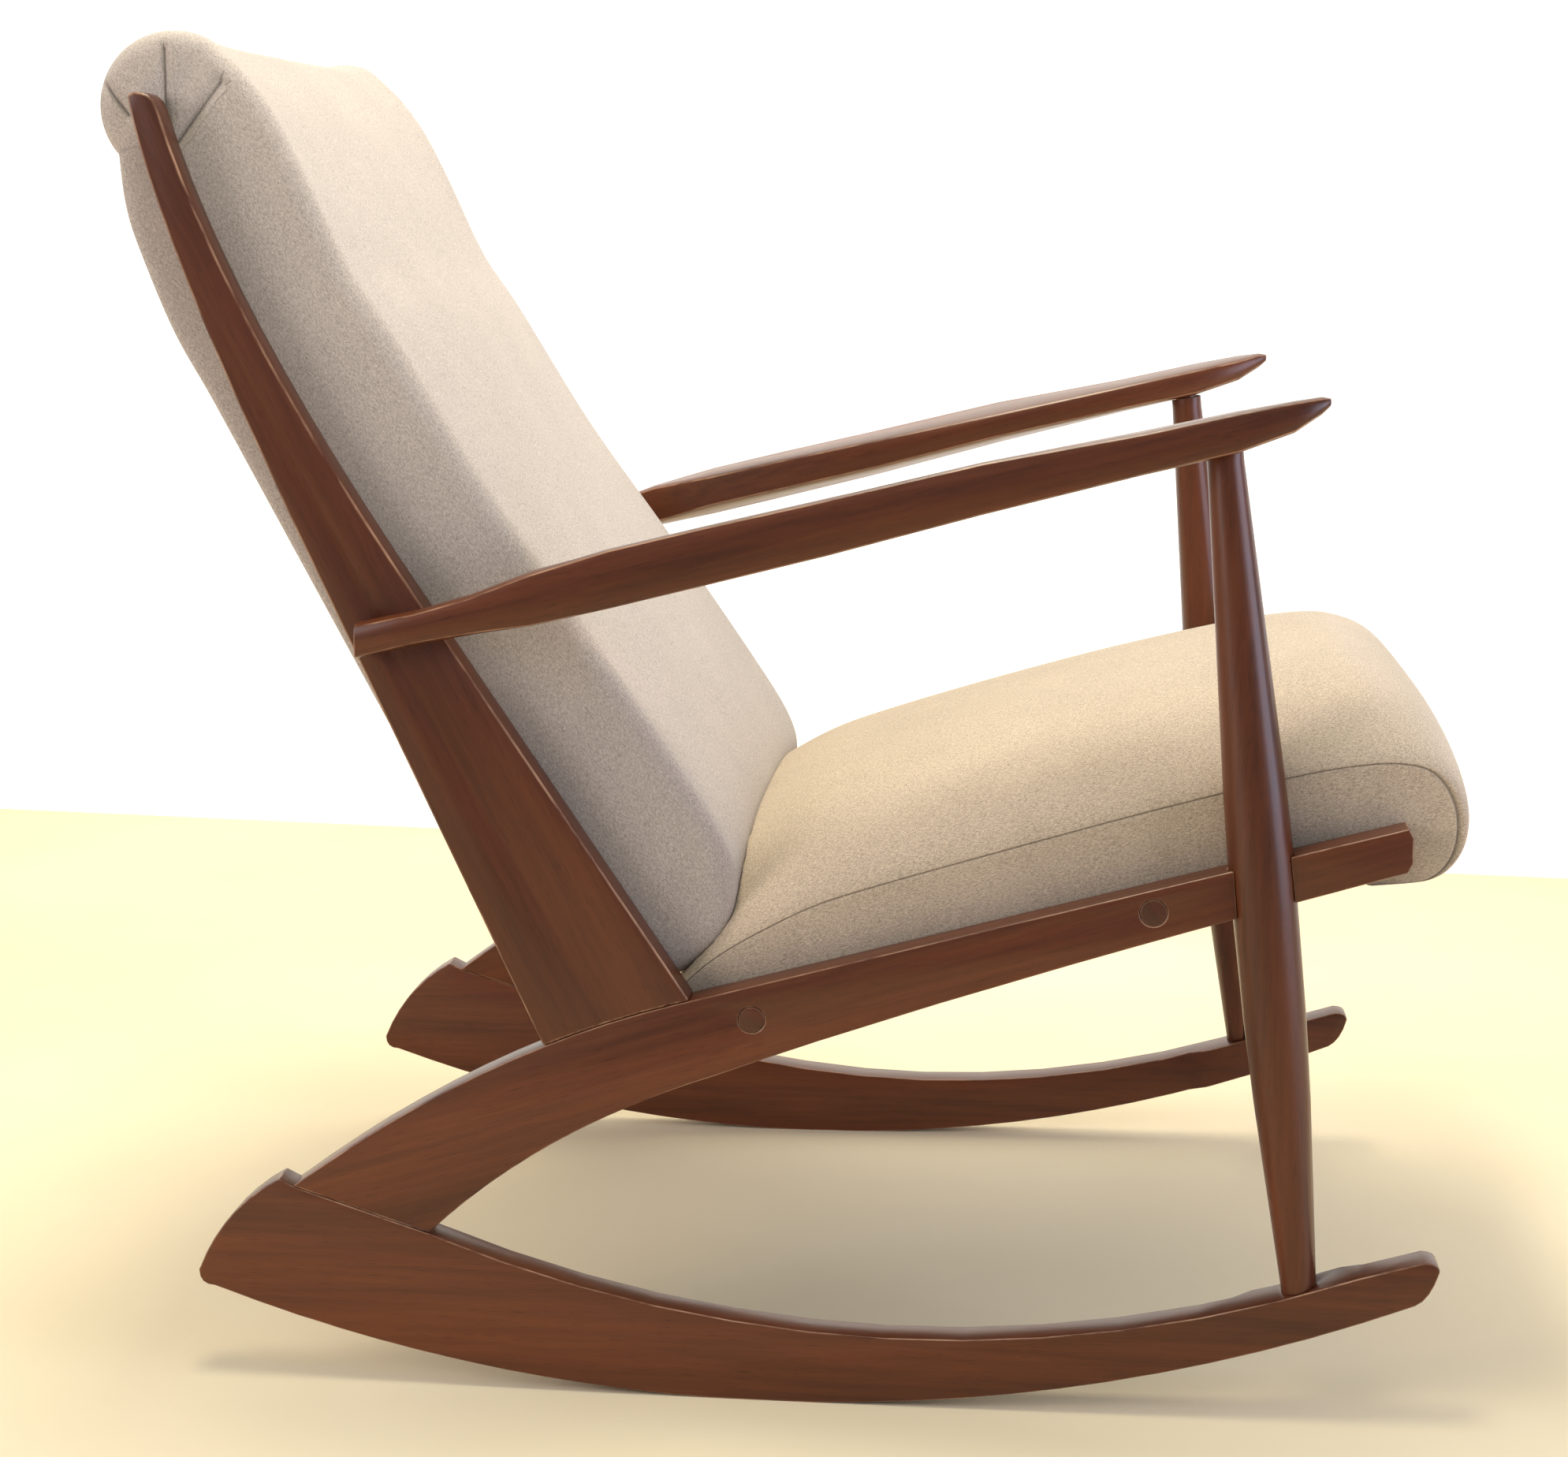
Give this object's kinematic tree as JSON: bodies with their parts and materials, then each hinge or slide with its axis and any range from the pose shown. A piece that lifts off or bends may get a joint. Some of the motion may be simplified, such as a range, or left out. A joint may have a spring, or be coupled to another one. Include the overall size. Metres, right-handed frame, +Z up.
{
  "type": "rocking chair",
  "caption": "Rocking chair with curved wooden runners, curved side frames, slim armrests, an upholstered seat and a tall upholstered back that ends in a head roll.",
  "frame": {"origin": "on the floor, midway between the sides and midway between the foremost and rearmost points", "axes": "+Z up, -Y the way the sitter faces, +X the sitter's left"},
  "size_m": [0.6124, 0.895, 0.9046],
  "materials": {
    "frame_wood": "satin red-brown lacquer",
    "post_wood": "satin dark brown lacquer",
    "plug_wood": "satin brown lacquer",
    "inner_wood": "bare pale wood",
    "steel": "zinc plated",
    "cover": "fine woven upholstery cloth in beige",
    "webbing": "jute webbing",
    "lining": "thin dark lining cloth"
  },
  "bodies": {
    "root": {"right_runner": "frame_wood", "right_side_rail": "frame_wood", "right_back_post": "post_wood", "right_front_leg": "frame_wood", "right_armrest": "frame_wood", "right_rail_bolt_front": "steel", "right_rail_bolt_rear": "steel", "right_rail_plug_front": "plug_wood", "right_rail_plug_rear": "plug_wood", "right_strut_dowel_1": "inner_wood", "right_strut_dowel_2": "inner_wood", "right_post_dowel_1": "inner_wood", "right_post_dowel_2": "inner_wood", "right_arm_screw_1": "steel", "right_arm_screw_2": "steel", "right_back_bolt_lower": "steel", "right_back_bolt_upper": "steel", "right_seat_side_rail": "inner_wood", "right_back_stile": "inner_wood", "left_runner": "frame_wood", "left_side_rail": "frame_wood", "left_back_post": "post_wood", "left_front_leg": "frame_wood", "left_armrest": "frame_wood", "left_rail_bolt_front": "steel", "left_rail_bolt_rear": "steel", "left_rail_plug_front": "plug_wood", "left_rail_plug_rear": "plug_wood", "left_strut_dowel_1": "inner_wood", "left_strut_dowel_2": "inner_wood", "left_post_dowel_1": "inner_wood", "left_post_dowel_2": "inner_wood", "left_arm_screw_1": "steel", "left_arm_screw_2": "steel", "left_back_bolt_lower": "steel", "left_back_bolt_upper": "steel", "left_seat_side_rail": "inner_wood", "left_back_stile": "inner_wood", "seat_front_rail": "inner_wood", "seat_rear_rail": "inner_wood", "seat_block_front_left": "inner_wood", "seat_block_front_right": "inner_wood", "seat_block_rear_left": "inner_wood", "seat_block_rear_right": "inner_wood", "seat_strap_1": "webbing", "seat_strap_2": "webbing", "seat_strap_3": "webbing", "seat_strap_4": "webbing", "seat_base_cloth": "lining", "seat_cushion": "cover", "back_bottom_rail": "inner_wood", "back_middle_rail": "inner_wood", "back_top_rail": "inner_wood", "back_strap_1": "webbing", "back_strap_2": "webbing", "back_strap_3": "webbing", "back_outer_panel": "cover", "back_cushion": "cover"}
  },
  "joints": []
}
